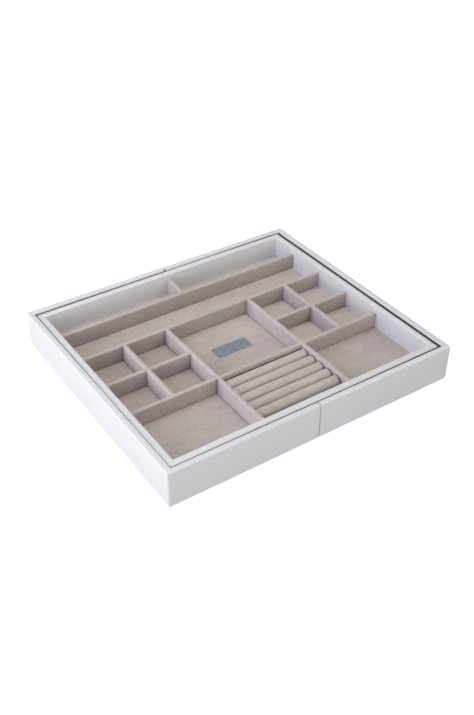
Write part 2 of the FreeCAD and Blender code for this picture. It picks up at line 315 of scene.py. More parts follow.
def velvet(name, tone=1.0, shift=(0.0, 0.0, 0.0), front_shade=(1.0, 1.0, 1.0), left=(1.0, 1.0, 1.0), right=(1.0, 1.0, 1.0), top=1.0,
           foot_shade=None, slit_shade=None, end_shade=None, shade_and_light_patches=(), joints=(), upper_shade_band=None, front_only=False,
           corners=()):
    """Short-pile velvet with light and shade painted into its colour. Faces turned to the front are painted darker
    (front_shade, and darker towards the left), faces turned to the left lighter and bluer (left, and lighter towards
    the left), faces turned to the right by `right`, and tops lighter (top): painted light and shade by side. foot_shade
    = (z0, z1, tint) is painted shade at the bottom of a face between two heights in mm (front_only: on the front face),
    and slit_shade = (side, y0, y1, z, tint) the same on the face towards one side, between y0 and y1 and below z;
    end_shade = (x0, x1, tint) is painted shade on the ends of a roll, beyond x0 from the middle;
    shade_and_light_patches lists patches (x0, x1, y0, y1, tint) of painted shade and painted light, joints the x at
    which another strip stands against the front face, with painted shade beside it, upper_shade_band = (z0, z1, tint)
    painted shade above a height, and corners the (x, y) at which a left face ends against a strip behind it, with
    painted shade there."""
    t = Tree(name)
    vec = t.mapping(loc=shift)
    brush = t.noise(34.0, 3.0, 0.55, 0.8, t.mapping((1.0, 1.9, 1.3), (0.0, 0.0, 0.6), shift))
    patch = t.noise(13.0, 2.0, 0.5, 0.4, vec)
    stroke = t.noise(70.0, 4.0, 0.62, 1.2, t.mapping((1.0, 2.6, 1.5), (0.0, 0.0, -0.5), shift))
    pile = t.noise(2600.0, 2.0, 0.6, 0.0, vec)
    tuft = t.noise(520.0, 3.0, 0.6, 0.0, vec)
    speck = t.noise(1050.0, 2.0, 0.5, 0.0, vec)
    base = tuple(tone * c for c in (0.564, 0.501, 0.458))
    lite = tuple(tone * c for c in (0.670, 0.605, 0.558))
    dark = tuple(tone * c for c in (0.433, 0.376, 0.339))
    col = t.mix(t.ramp(brush, 0.38, 0.66), base, lite)
    col = t.mix(t.ramp(patch, 0.40, 0.68, 0.0, 0.62), col, dark)
    col = t.mix(t.ramp(stroke, 0.42, 0.64, 0.0, 0.55), col, lite)
    col = t.mix(t.ramp(tuft, 0.36, 0.66, 0.0, 0.58), col, dark)
    col = t.mix(t.ramp(speck, 0.42, 0.66, 0.0, 0.48), col, lite)
    col = t.mix(t.ramp(pile, 0.35, 0.75, 0.0, 0.35), col, lite)
    sep = t.node("ShaderNodeSeparateXYZ")
    t.link(t.normal, sep.inputs[0])
    nx, ny, nz = sep.outputs
    pos = t.node("ShaderNodeSeparateXYZ")
    t.link(t.co, pos.inputs[0])
    px, py, pz = pos.outputs
    # painted shade: faces turned to the front are made darker by front_shade, and darker towards the left
    if min(front_shade) < 1.0:
        col = t.mix(t.ramp(ny, -0.15, -0.95), col, front_shade, "MULTIPLY")
        col = t.mix(t.ramp(ny, -0.15, -0.95), col, t.ramp(px, -0.16, 0.16, 0.93, 1.07), "MULTIPLY")
    if shade_and_light_patches or corners:
        ux, uy = t.math("ADD", px, t.math("MULTIPLY", py, ASKEW)), t.math("SUBTRACT", py, t.math("MULTIPLY", px, ASKEW))
    # painted shade and painted light: each patch multiplies the colour by its tint, dark strips standing for contact
    # shadows, light ones for light
    for x0, x1, y0, y1, tint in shade_and_light_patches:
        fac = t.math("MULTIPLY", t.ramp(uy, y0 * MM, (y0 + 1) * MM), t.ramp(uy, y1 * MM, (y1 - 1) * MM))
        fac = t.math("MULTIPLY", fac, t.math("MULTIPLY", t.ramp(ux, x0 * MM, (x0 + 1) * MM), t.ramp(ux, x1 * MM, (x1 - 1) * MM)))
        col = t.mix(fac, col, tint, "MULTIPLY")
    # painted light by side: faces turned to the left are made lighter and bluer, more so towards the left; faces turned
    # to the right by `right`
    if max(left) > 1.0:
        col = t.mix(t.ramp(nx, -0.15, -0.95), col, left, "MULTIPLY")
        col = t.mix(t.ramp(nx, -0.15, -0.95), col, t.ramp(px, -0.12, 0.12, 1.05, 0.92), "MULTIPLY")
    if max(right) > 1.0:
        col = t.mix(t.ramp(nx, 0.15, 0.95), col, right, "MULTIPLY")
    # painted shade in the corner where a left face ends against a strip behind it
    for x, y in corners:
        fac = t.ramp(uy, (y - 13.0) * MM, (y - 0.5) * MM)
        fac = t.math("MULTIPLY", t.math("MULTIPLY", fac, fac), t.ramp(uy, (y + 0.6) * MM, (y + 0.2) * MM))
        fac = t.math("MULTIPLY", fac, t.math("MULTIPLY", t.ramp(ux, (x - 3.0) * MM, (x - 2.5) * MM), t.ramp(ux, (x + 3.0) * MM, (x + 2.5) * MM)))
        col = t.mix(t.math("MULTIPLY", fac, t.ramp(nx, -0.4, -0.9)), col, (0.74, 0.725, 0.725), "MULTIPLY")
    # painted shade on the front face beside a strip standing against it
    for x in joints:
        fac = t.math("MULTIPLY", t.ramp(px, (x - 2.6) * MM, (x - 0.3) * MM), t.ramp(px, (x + 0.4) * MM, (x + 0.2) * MM))
        col = t.mix(t.math("MULTIPLY", fac, t.ramp(ny, -0.6, -0.95)), col, (0.58, 0.56, 0.56), "MULTIPLY")
    # painted light: tops made lighter by `top`
    if top != 1.0:
        col = t.mix(t.ramp(nz, 0.55, 0.98), col, (top, top, top), "MULTIPLY")
    # painted shade at the bottom of faces between two heights, with a ragged edge, less on faces turned to the left
    if foot_shade:
        z0, z1, tint = foot_shade
        ragged = t.math("ADD", pz, t.ramp(stroke, 0.2, 0.8, -0.0006, 0.0006))
        n = t.node("ShaderNodeMapRange", interpolation_type="SMOOTHSTEP")
        for k, v in (("From Min", z1 * MM), ("From Max", z0 * MM), ("To Min", 0.0), ("To Max", 1.0)):
            n.inputs[k].default_value = v
        t.link(ragged, n.inputs["Value"])
        fac = t.math("MULTIPLY", n.outputs["Result"], t.ramp(nx, -0.7, -0.2, 0.35, 1.0))
        if front_only:
            fac = t.math("MULTIPLY", fac, t.ramp(ny, -0.2, -0.5))
        col = t.mix(fac, col, tint, "MULTIPLY")
    # painted shade on the faces towards one side, between y0 and y1 and below z, beside the roll ends
    if slit_shade:
        side, y0, y1, z, tint = slit_shade
        fac = t.math("MULTIPLY", t.ramp(py, (y0 - 1.0) * MM, y0 * MM), t.ramp(py, (y1 + 1.0) * MM, y1 * MM))
        fac = t.math("MULTIPLY", fac, t.ramp(nx, 0.4 * side, 0.9 * side))
        fac = t.math("MULTIPLY", fac, t.ramp(pz, (z + 0.6) * MM, (z - 0.9) * MM))
        col = t.mix(fac, col, tint, "MULTIPLY")
    # painted shade on the ends of a roll, beyond x0 from the middle
    if end_shade:
        x0, x1, tint = end_shade
        n = t.node("ShaderNodeMath", operation="ABSOLUTE")
        t.link(px, n.inputs[0])
        col = t.mix(t.ramp(n.outputs[0], x0 * MM, x1 * MM), col, tint, "MULTIPLY")
    # painted shade, fading in from z0 to z1 and full above
    if upper_shade_band:
        z0, z1, tint = upper_shade_band
        col = t.mix(t.ramp(pz, z0 * MM, z1 * MM), col, tint, "MULTIPLY")
    n = t.bump(brush, 0.30, 0.0012)
    n = t.bump(tuft, 0.40, 0.00032, n)
    n = t.bump(pile, 0.45, 0.00022, n)
    t.set(Base_Color=col, Roughness=0.95, Normal=n, Sheen_Weight=0.35, Sheen_Roughness=0.45,
          Sheen_Tint=(1.0, 0.95, 0.92), IOR=1.35)
    return t.mat


def felt():
    t = Tree("felt_grey")
    f = t.noise(900.0, 4.0, 0.7)
    g = t.noise(60.0, 3.0)
    col = t.mix(t.ramp(f, 0.3, 0.7), (0.30, 0.28, 0.27), (0.47, 0.44, 0.42))
    col = t.mix(t.ramp(g, 0.3, 0.7, 0.0, 0.3), col, (0.33, 0.31, 0.30))
    t.set(Base_Color=col, Roughness=0.97, Normal=t.bump(f, 0.6, 0.0004), Sheen_Weight=0.25, Sheen_Roughness=0.6, IOR=1.3)
    return t.mat


def mdf():
    t = Tree("board_mdf")
    f = t.noise(700.0, 5.0, 0.7)
    g = t.noise(45.0, 3.0)
    col = t.mix(t.ramp(f, 0.3, 0.72), (0.40, 0.27, 0.165), (0.58, 0.43, 0.29))
    col = t.mix(t.ramp(g, 0.3, 0.7, 0.0, 0.35), col, (0.46, 0.33, 0.21))
    t.set(Base_Color=col, Roughness=0.85, Normal=t.bump(f, 0.4, 0.0002))
    return t.mat


def card():
    t = Tree("card_grey")
    f = t.noise(800.0, 4.0, 0.7)
    g = t.noise(250.0, 3.0, 0.5, 0.0, t.mapping((1, 1, 6)))
    col = t.mix(t.ramp(f, 0.3, 0.7), (0.34, 0.33, 0.31), (0.48, 0.46, 0.44))
    col = t.mix(t.ramp(g, 0.4, 0.7, 0.0, 0.3), col, (0.30, 0.29, 0.28))
    t.set(Base_Color=col, Roughness=0.9, Normal=t.bump(f, 0.3, 0.00015))
    return t.mat


def foam():
    t = Tree("foam_core")
    v = t.voronoi(1500.0)
    f = t.noise(300.0, 3.0)
    col = t.mix(t.ramp(v, 0.0, 0.6), (0.55, 0.52, 0.45), (0.80, 0.77, 0.70))
    col = t.mix(t.ramp(f, 0.3, 0.7, 0.0, 0.25), col, (0.68, 0.64, 0.56))
    t.set(Base_Color=col, Roughness=0.95, Normal=t.bump(v, 0.6, 0.0004))
    return t.mat


def plate():
    t = Tree("plate_blue_grey")
    streak = t.noise(1.0, 4.0, 0.6, 0.0, t.mapping((60.0, 5200.0, 60.0)))
    cloud = t.noise(90.0, 2.0)
    col = t.mix(t.ramp(streak, 0.3, 0.7), (0.270, 0.300, 0.383), (0.338, 0.367, 0.455))
    col = t.mix(t.ramp(cloud, 0.3, 0.7, 0.0, 0.35), col, (0.350, 0.386, 0.482))
    t.set(Base_Color=col, Metallic=0.35, Roughness=t.ramp(streak, 0.3, 0.7, 0.42, 0.56),
          Normal=t.bump(streak, 0.15, 0.00004))
    return t.mat


def plastic(name, lo, hi):
    t = Tree(name)
    f = t.noise(1400.0, 3.0, 0.6)
    s = t.noise(1.0, 3.0, 0.5, 0.0, t.mapping((25.0, 900.0, 900.0)))
    col = t.mix(t.ramp(s, 0.3, 0.7), lo, hi)
    t.set(Base_Color=col, Roughness=t.ramp(f, 0.3, 0.7, 0.38, 0.55), Normal=t.bump(f, 0.15, 0.00006))
    return t.mat


def steel():
    t = Tree("screw_steel")
    f = t.noise(1800.0, 3.0, 0.6)
    g = t.noise(500.0, 3.0)
    col = t.mix(t.ramp(g, 0.3, 0.7), (0.52, 0.52, 0.54), (0.68, 0.68, 0.69))
    t.set(Base_Color=col, Metallic=1.0, Roughness=t.ramp(f, 0.3, 0.7, 0.25, 0.42), Normal=t.bump(f, 0.15, 0.00004))
    return t.mat


# the inner tray lies a little askew in the two halves (radians)
ASKEW = 0.0055
# the shells' wrap: painted shade in the back joint and at one end of the side-wall tops
M_LEATHER = leatherette("leatherette_white", seam=(1.2, 157.4, (0.10, 0.10, 0.11)))
# the inner tray's wrap: painted shade below the front rim in the gap, and painted light and shade on its rim tops
M_TRAY = leatherette("leatherette_tray", (-152.4, 42.6, (0.17, 0.16, 0.16)))
# the velvets below are one velvet with painted light and shade in different amounts: fronts darker, left faces lighter
# and bluer, tops lighter, painted shade low on faces, in corners and gaps; the floor and rolls are painted a little
# lighter (tone 1.03, 1.06)
M_VELVET = velvet("velvet_taupe", 1.0, front_shade=(0.815, 0.79, 0.81), left=(1.12, 1.13, 1.18), top=1.02,
                  foot_shade=(16.2, 19.0, (0.76, 0.75, 0.75)), corners=((-117.1, 52.7), (110.5, -2.7)))
M_FRONT_L = velvet("velvet_front_left", 1.0, front_shade=(0.84, 0.805, 0.825), left=(1.12, 1.13, 1.18), top=1.02,
                   foot_shade=(16.2, 19.0, (0.82, 0.81, 0.81)), joints=(-60.8,))
M_FRONT_R = velvet("velvet_front_right", 1.0, front_shade=(0.88, 0.845, 0.865), left=(1.12, 1.13, 1.18), top=1.02,
                   foot_shade=(16.2, 19.0, (0.80, 0.79, 0.79)))
M_LONG = velvet("velvet_long_taupe", 1.0, front_shade=(0.815, 0.79, 0.81), left=(1.12, 1.13, 1.18), top=1.02,
                foot_shade=(16.2, 19.0, (0.77, 0.76, 0.76)), joints=(-117.4, -61.1, 54.3, 110.2))
M_FRONT = velvet("velvet_front_taupe", 1.0, front_shade=(0.815, 0.79, 0.81), left=(1.12, 1.13, 1.18), top=1.02,
                 foot_shade=(16.2, 19.0, (0.74, 0.73, 0.73)), joints=(-117.1, -60.8, 110.5))
# the ring strip: painted shadow low on its front face, where the first roll meets it
M_RING = velvet("velvet_ring_taupe", 1.0, (0.05, 0.11, 0.02), front_shade=(0.91, 0.895, 0.91), left=(1.12, 1.13, 1.18), top=1.02,
                foot_shade=(29.7, 31.7, (0.20, 0.18, 0.18)), front_only=True)
# the centre strips: painted shade on the faces towards the rolls and in the corners
M_SLIT = {s: velvet(f"velvet_taupe_{n}", 1.0, front_shade=(0.815, 0.79, 0.81), left=(1.12, 1.13, 1.18), top=1.02,
                    foot_shade=(16.2, 19.0, (0.74, 0.73, 0.73)), slit_shade=(s, -130.5, -58.5, 29.0, (0.68, 0.66, 0.66)), corners=c)
          for s, n, c in ((-1, "right", ((54.6, 52.7),)), (1, "left", ((-60.8, 52.7), (-60.8, -2.7), (-60.8, -57.9))))}
# the floor: painted shadow in strips left of each upright strip, painted light in strips in front of the strips and at
# the back, and whole cells painted darker or lighter
M_FLOOR = velvet("velvet_floor_taupe", 1.03, (0.31, 0.17, 0.05),
                 shade_and_light_patches=((-170.0, -60.0, -55.0, 53.0, (0.94, 0.94, 0.93)), (60.0, 170.0, -150.0, -57.0, (0.93, 0.92, 0.93)),
                          (-55.5, 55.5, 10.0, 53.0, (1.05, 1.05, 1.05)), (60.0, 170.0, -52.5, 52.7, (1.115, 1.11, 1.11)),
                          (-170.0, -60.0, 2.5, 53.0, (0.96, 0.96, 0.955)), (-55.5, 55.5, -52.0, -4.0, (0.95, 0.945, 0.965)),
                          (-170.0, 170.0, 112.4, 147.0, (1.02, 1.035, 1.05)), (-170.0, 170.0, 101.5, 107.6, (1.07, 1.09, 1.09)),
                          (-170.0, -60.8, -63.2, -57.2, (1.055, 1.065, 1.06)), (60.0, 170.0, -63.2, -57.2, (1.06, 1.075, 1.08)),
                          (-170.0, -60.8, 47.4, 53.4, (1.12, 1.12, 1.14)), (60.0, 170.0, 47.4, 53.4, (0.95, 0.945, 0.955)),
                          (-119.1, -116.1, -52.0, 53.0, (0.72, 0.71, 0.71)), (-62.8, -59.8, -146.0, 53.0, (0.72, 0.71, 0.71)),
                          (52.6, 55.6, -52.0, 53.0, (0.72, 0.71, 0.71)), (108.5, 111.5, -52.0, 53.0, (0.72, 0.71, 0.71))))
# the rolls: painted shade in the valleys between them and on their ends
M_ROLL = velvet("velvet_roll_taupe", 1.06, (0.11, 0.43, 0.21), foot_shade=(24.5, 31.6, (0.43, 0.41, 0.40)),
                # end_shade: painted shade on each roll's ends where they stand against the strips
                end_shade=(53.0, 53.5, (0.20, 0.19, 0.19)))
M_BAY = velvet("velvet_bay_taupe", 0.55, (0.53, 0.07, 0.37))
# the wall lining: a darker velvet, chosen partly to darken the narrow gap as shade, with painted shade darker still
# above 37.5 mm
M_WALL = velvet("velvet_wall_taupe", 0.52, (0.23, 0.37, 0.61), upper_shade_band=(37.5, 40.5, (0.52, 0.52, 0.52)))
M_FELT, M_MDF, M_CARD, M_FOAM, M_PLATE, M_STEEL = felt(), mdf(), card(), foam(), plate(), steel()
M_RAIL = plastic("rail_plastic", (0.52, 0.52, 0.53), (0.62, 0.62, 0.63))
M_STUD = plastic("stud_plastic", (0.60, 0.58, 0.53), (0.70, 0.68, 0.62))

# carried-over construction pieces get their own finish
for name, ob in nodes.items():
    if name.endswith("_cover") or name.endswith("_divider") or name.endswith("_lining") or name == "velvet_floor":
        m = M_LEATHER if name.endswith("_cover") else M_VELVET
    elif name.startswith("ring_roll_") and name != "ring_roll_foam":
        m = M_ROLL
    elif name == "ring_roll_foam":
        m = M_FOAM
    elif name.endswith("_felt"):
        m = M_FELT
    elif name == "label_plate":
        m = M_PLATE
    elif name.startswith("guide_rail"):
        m = M_RAIL
    elif name.endswith("_studs"):
        m = M_STUD
    elif name.endswith("_screws"):
        m = M_STEEL
    elif name.endswith("_core") or name.endswith("_cores"):
        m = M_CARD
    elif name == "ring_pad_base":
        m = M_VELVET
    else:
        m = M_MDF
    ob.data.materials.clear()
    ob.data.materials.append(m)

# =====================================================================================================
# leatherette shells
# =====================================================================================================
W2, D2, H = 185.0, 163.0, 45.0
SEAM = 0.4
# the inner tray's wrap, a hair off the middle as it lies in its runners
RING_HX, RING_HY, RING_CX, RING_CY = 175.2, 153.75, -0.9, 0.55
RING_TX, RING_TY = 7.35, 8.0


def u_shell(sign, x1=W2, y1=D2, xs=SEAM, thick=6.8, zb=0.8, zt=H, r_c=1.6, r_e=1.0, r_min=0.6, radii=(0.7, 1.5, 0.8),
            amp=0.10, seed=3.1, walls=None, crisp=None):
    """A wall section led round three sides of one half and rounded off at the seam. walls = (front, side at the front,
    side at the back, back) are the wall thicknesses where they differ from `thick`; crisp is the outer edge radius of
    the back wall, and of the side wall on the right."""
    wf, ws0, ws1, wb = [w / thick for w in (walls or (thick,) * 4)]
    r_b = radii[1] if crisp is None else crisp
    r_s = r_b if sign > 0 else radii[1]
    n_arc, n_long, n_side = 8, 34, 60
    rows = []
    caps = [(r_e * (1 - math.sin(a)), r_e * (1 - math.cos(a))) for a in np.radians([90, 72, 54, 36, 18])]

    def section(kind, k):
        ro = {"f": radii[1], "a1": radii[1] + (r_s - radii[1]) * k, "e": r_s, "a2": r_s + (r_b - r_s) * k, "b": r_b}[kind]
        return wall_profile(thick, zb, zt, radii[0], ro, radii[2])

    def station(kind, k, d):
        r = corner_radius(d, r_c, r_min)
        cx0, cx1, cy0, cy1 = x1 - d * ws0 - r, x1 - d * ws1 - r, y1 - d * wf - r, y1 - d * wb - r
        if kind == "f":
            return (xs + r_e + (cx0 - xs - r_e) * k, -(y1 - d * wf))
        if kind == "a1":
            a = math.radians(-90 + 90 * k)
            return (cx0 + r * math.cos(a), -cy0 + r * math.sin(a))
        if kind == "e":
            return (x1 - d * (ws0 + (ws1 - ws0) * k), -cy0 + (cy0 + cy1) * k)
        if kind == "a2":
            a = math.radians(90 * k)
            return (cx1 + r * math.cos(a), cy1 + r * math.sin(a))
        return (cx1 + (xs + r_e - cx1) * k, y1 - d * wb)

    stations = [("f", k / n_long) for k in range(n_long)]
    stations += [("a1", k / n_arc) for k in range(n_arc)]
    stations += [("e", k / n_side) for k in range(n_side)]
    stations += [("a2", k / n_arc) for k in range(n_arc)]
    stations += [("b", k / n_long) for k in range(n_long + 1)]
    for dx, ins in caps:
        rows.append([(xs + dx, -(y1 - d * wf), z) for d, z in wall_profile(thick, zb, zt, *radii, ins)])
    for kind, k in stations:
        rows.append([(*station(kind, k, d), z) for d, z in section(kind, k)])
    for dx, ins in reversed(caps):
        rows.append([(xs + dx, (y1 - d * wb), z) for d, z in wall_profile(thick, zb, zt, radii[0], r_b, radii[2], ins)])
    v = np.array(rows, float)
    nr, nc = v.shape[:2]
    v = v.reshape(-1, 3)
    # the wrap lies over board, so it is flat to within a tenth of a millimetre or so
    wob = fbm(v * (sign, 1, 1), 46.0, seed if sign > 0 else seed + 5.6)
    mid = np.array([0.0, 0.0, 24.0])
    push = v - mid
    side = np.abs(push[:, 1]) / y1 > np.abs(push[:, 0]) / x1
    v[:, 0] += np.where(side, 0, np.sign(push[:, 0]) * wob * amp)
    v[:, 1] += np.where(side, np.sign(push[:, 1]) * wob * amp, 0)
    top = v[:, 2] > 30
    v[top, 2] += amp * wob[top]
    v[:, 0] = np.minimum(v[:, 0], x1)
    f = grid_faces(nr, nc, close_cols=True)
    f.append(list(range(nc)))
    f.append(list(range((nr - 1) * nc, nr * nc)))
    v[:, 0] *= sign
    return v, f


for side, sign in (("left", -1), ("right", 1)):
    v, f = u_shell(sign, walls=(6.45, 7.45, 7.05, 6.8) if sign < 0 else (6.45, 6.8, 7.05, 6.8), crisp=0.6)
    add_object(f"{side}_shell_wrap", v, f, M_LEATHER, f"{side}_half", [f"{side}_cover"])
    v, f = u_shell(sign, 178.6, 156.6, 1.9 if sign < 0 else -1.2, 1.25, 5.0, 42.8, 1.0, 0.3, 0.4, (0.06, 0.15, 0.38), 0.05, 51.0)
    # the lining's top edge is not cut quite level
    back, ends, cut = v[:, 1] > 150, np.abs(v[:, 0]) > 170, v[:, 2] > 38
    along = np.abs(v[:, 0])
    if sign < 0:
        dz = np.where(back, np.interp(along, (0, 34, 80, 120, 155), (0.03, 0.03, 0.0, -0.11, -0.36)),
                      np.where(ends, np.interp(v[:, 1], (120, 150), (0.0, -0.36)), 0.0))
    else:
        dz = np.where(back, np.interp(along, (0, 12, 60, 100, 135, 165, 177), (-0.58, -0.58, -0.30, 0.10, 0.33, 0.36, -0.25)),
                      np.where(ends, np.interp(v[:, 1], (-150, 150), (0.40, -0.25)), np.interp(along, (150, 177), (0.0, 0.40))))
    v[:, 2] += np.where(cut, dz, 0.0)
    # past the seam only a thin lip is left, clear of the other half's wall
    lip = along * np.sign(v[:, 0] * sign) < 1.0
    v[lip, 1] = np.clip(v[lip, 1], -156.0, 156.0)
    ob = add_object(f"{side}_wall_velvet", v, f, M_WALL, f"{side}_half", [f"{side}_wall_lining"])


def ring_shell():
    """The inner tray's wrapped wall, a closed ring, a little thicker at the front and back."""
    x1, y1 = RING_HX, RING_HY
    zb, zt = 5.3, 43.2
    r_c, n_arc, n_x, n_y = 1.5, 8, 66, 58
    prof = wall_profile(RING_TX, zb, zt, 0.7, 1.0, 1.1)
    rows = []

    def loop_point(seg, k, d):
        r = corner_radius(d, r_c, 0.7)
        dy = d * RING_TY / RING_TX
        cx, cy = x1 - d - r, y1 - dy - r
        if seg == 0:
            return (-cx + 2 * cx * k, -(y1 - dy))
        if seg == 1:
            a = math.radians(-90 + 90 * k)
            return (cx + r * math.cos(a), -cy + r * math.sin(a))
        if seg == 2:
            return (x1 - d, -cy + 2 * cy * k)
        if seg == 3:
            a = math.radians(90 * k)
            return (cx + r * math.cos(a), cy + r * math.sin(a))
        if seg == 4:
            return (cx - 2 * cx * k, y1 - dy)
        if seg == 5:
            a = math.radians(90 + 90 * k)
            return (-cx + r * math.cos(a), cy + r * math.sin(a))
        if seg == 6:
            return (-(x1 - d), cy - 2 * cy * k)
        a = math.radians(180 + 90 * k)
        return (-cx + r * math.cos(a), -cy + r * math.sin(a))

    for seg in range(8):
        n = n_arc if seg % 2 else (n_x if seg in (0, 4) else n_y)
        for k in range(n):
            rows.append([(*loop_point(seg, k / n, d), z) for d, z in prof])
    v = np.array(rows, float)
    nr, nc = v.shape[:2]
    v = v.reshape(-1, 3)
    deep = np.tile([d / RING_TX for d, _ in prof], nr)
    wob = fbm(v, 42.0, 17.3)
    side = np.abs(v[:, 1]) / y1 > np.abs(v[:, 0]) / x1
    v[:, 0] += np.where(side, 0, np.sign(v[:, 0]) * wob * 0.12)
    v[:, 1] += np.where(side, np.sign(v[:, 1]) * wob * 0.12, 0)
    top = v[:, 2] > 30
    v[top, 2] += 0.12 * wob[top]
    v[:, 0] += RING_CX
    v[:, 1] += RING_CY
    # it lies a little askew: outer and inner faces of each side are turned by their own small amount
    x, y = v[:, 0].copy(), v[:, 1].copy()
    front, back = np.interp(y, (-143, -125), (1, 0)), np.interp(y, (125, 143), (0, 1))
    right = np.interp(x, (145, 165), (0, 1))
    bulge_f = np.interp(x, (-165, -120, -60, 0, 60, 120, 165), (-0.22, -0.14, -0.10, -0.14, -0.12, -0.02, 0.08))
    bulge_b = np.interp(x, (-165, -145, -110, -80, -35, 25, 60, 100, 135, 165), (-0.25, -0.20, -0.12, 0.03, 0.20, 0.32, 0.28, 0.14, 0.0, -0.24))
    bow = np.interp(x, (-150, -115, -84, -37, -12, 12, 37, 80, 110, 140), (0.0, 0.12, 0.28, 0.42, 0.62, 0.66, 0.42, 0.12, -0.05, -0.10))
    bulge_l = np.interp(y, (-150, -75, -25, 25, 75, 150), (0.38, 0.40, 0.42, 0.28, 0.20, 0.08))
    v[:, 1] += front * ((1 - deep) * (-0.10 + 0.0021 * x + bulge_f) + deep * (0.05 + 0.0038 * x + bow))
    v[:, 1] += back * ((1 - deep) * (-0.12 + 0.0028 * x + bulge_b) + deep * (0.03 + 0.0038 * x))
    v[:, 0] -= np.interp(x, (-165, -145), (1, 0)) * (1 - deep) * bulge_l
    v[:, 0] += right * ((1 - deep) * (0.0 - 0.0026 * y) - deep * 0.0028 * y)
    return v, grid_faces(nr, nc, close_cols=True, close_rows=True)


v, f = ring_shell()
add_object("inner_tray_wrap", v, f, M_TRAY, "inner_tray", ["inner_cover"])

# the board inside the right wall, cut to follow the wrap
v = np.array([(x, y, z) for x in (168.9, 173.45) for y in (-152.2, 153.2) for z in (5.6, 42.1)])
f = [(0, 1, 3, 2), (4, 5, 7, 6), (0, 1, 5, 4), (2, 3, 7, 6), (0, 2, 6, 4), (1, 3, 7, 5)]
add_object("inner_right_panel", v, f, M_MDF, "inner_tray", ["inner_right_board"], 30)

# =====================================================================================================
# velvet
# =====================================================================================================
IXL, IXR = RING_CX - RING_HX + RING_TX, RING_CX + RING_HX - RING_TX
IYF, IYB = RING_CY - RING_HY + RING_TY, RING_CY + RING_HY - RING_TY
FLOOR, DTOP, DT = 16.2, 36.7, 5.5


def bar_profile(w, z0, z1, r_top, inset=0.0, n_face=7, n_arc=8):
    """Closed section (u, z) of a covered strip with a rounded top, u across."""
    h, b = w / 2 - inset, z1 - inset
    r = min(max(r_top - inset * 0.6, 0.08), h - 0.15)
    p = [(-h, z0)]
    p += line((-h, z0), (-h, b - r), n_face)
    p += arc(-h + r, b - r, r, 180, 90, n_arc)
    p += arc(h - r, b - r, r, 90, 0, n_arc)
    p += line((h, b - r), (h, z0), n_face)
    p += [(h, z0)]
    p += line((h, z0), (-h, z0), 2)
    return p


def bar(a, b, c, axis, w=DT, z0=FLOOR - 0.8, z1=DTOP, r_top=1.8, ends=("wall", "wall"), seed=0.0,
        step=3.0, wob=0.14, r_e=1.1, fold=None):
    """A velvet-covered strip from a to b along axis, centred at c across it. An end is 'wall' (rounded off, just
    short of a wall) or 'tuck' (run into the strip that it meets)."""
    start = a + 0.25 if ends[0] == "wall" else a - 2.2
    stop = b - 0.25 if ends[1] == "wall" else b + 2.2
    rows = []
    cap = [(r_e * (1 - math.sin(t)), r_e * (1 - math.cos(t))) for t in np.radians([90, 70, 50, 30, 12])]
    if ends[0] == "wall":
        rows += [(start + d, i) for d, i in cap]
        s0 = start + r_e
    else:
        s0 = start
    s1 = stop - r_e if ends[1] == "wall" else stop
    n = max(2, int(round((s1 - s0) / step)))
    mid = [(s0 + (s1 - s0) * k / n, 0.0) for k in range(n + 1)]
    if fold:
        at, wide, deep = fold
        mid = [m for m in mid if min(abs(m[0] - start - at), abs(stop - at - m[0])) > wide + 0.3]
        for e in (start + at, stop - at):
            mid += [(e + wide * q, deep * (1 - abs(q)) ** 1.5) for q in (-1, -0.5, -0.2, 0.2, 0.5, 1)]
        mid.sort()
    rows += mid
    if ends[1] == "wall":
        rows += [(stop - d, i) for d, i in reversed(cap)]
    pts = []
    for s, ins in rows:
        pr = bar_profile(w, z0, z1, r_top, ins)
        pts.append([(s, c + u, z) for u, z in pr])
    v = np.array(pts, float)
    nr, nc = v.shape[:2]
    v = v.reshape(-1, 3)
    u = v[:, 1] - c
    lean = fbm(np.c_[v[:, 0], np.zeros(len(v)), np.zeros(len(v))], 55.0, seed + 1.7)
    thick = fbm(np.c_[v[:, 0], np.sign(u) * 20, v[:, 2] * 0.5], 17.0, seed + 9.1)
    rise = fbm(np.c_[v[:, 0], np.zeros(len(v)), np.zeros(len(v))], 30.0, seed + 4.4)
    hgt = np.clip((v[:, 2] - z0) / (z1 - z0), 0, 1)
    v[:, 1] += 0.9 * wob * lean * hgt + wob * thick * np.clip(np.abs(u) / (w / 2), 0, 1) * np.sign(u)
    v[:, 2] += wob * 1.1 * rise * hgt
    faces = grid_faces(nr, nc, close_cols=True) + [list(range(nc)), list(range((nr - 1) * nc, nr * nc))]
    if axis == "y":
        v = v[:, [1, 0, 2]]
    return v, faces


def joined(parts):
    vs, fs, k = [], [], 0
    for v, f in parts:
        vs.append(v)
        fs += [[i + k for i in q] for q in f]
        k += len(v)
    return np.vstack(vs), fs


def askew(v):
    """Points of the inner tray's filling, turned as it lies in the two halves."""
    return np.c_[v[:, 0] - ASKEW * v[:, 1], v[:, 1] + ASKEW * v[:, 0], v[:, 2]]


h = DT / 2
Y_BL, Y_SL, Y_G, Y_F = 106.95 + h, 52.7 + h, -2.7 + h, -57.9 + h
X_GL, X_CL, X_CR, X_GR = -117.1 + h, -60.8 + h, 54.6 + h, 110.5 + h

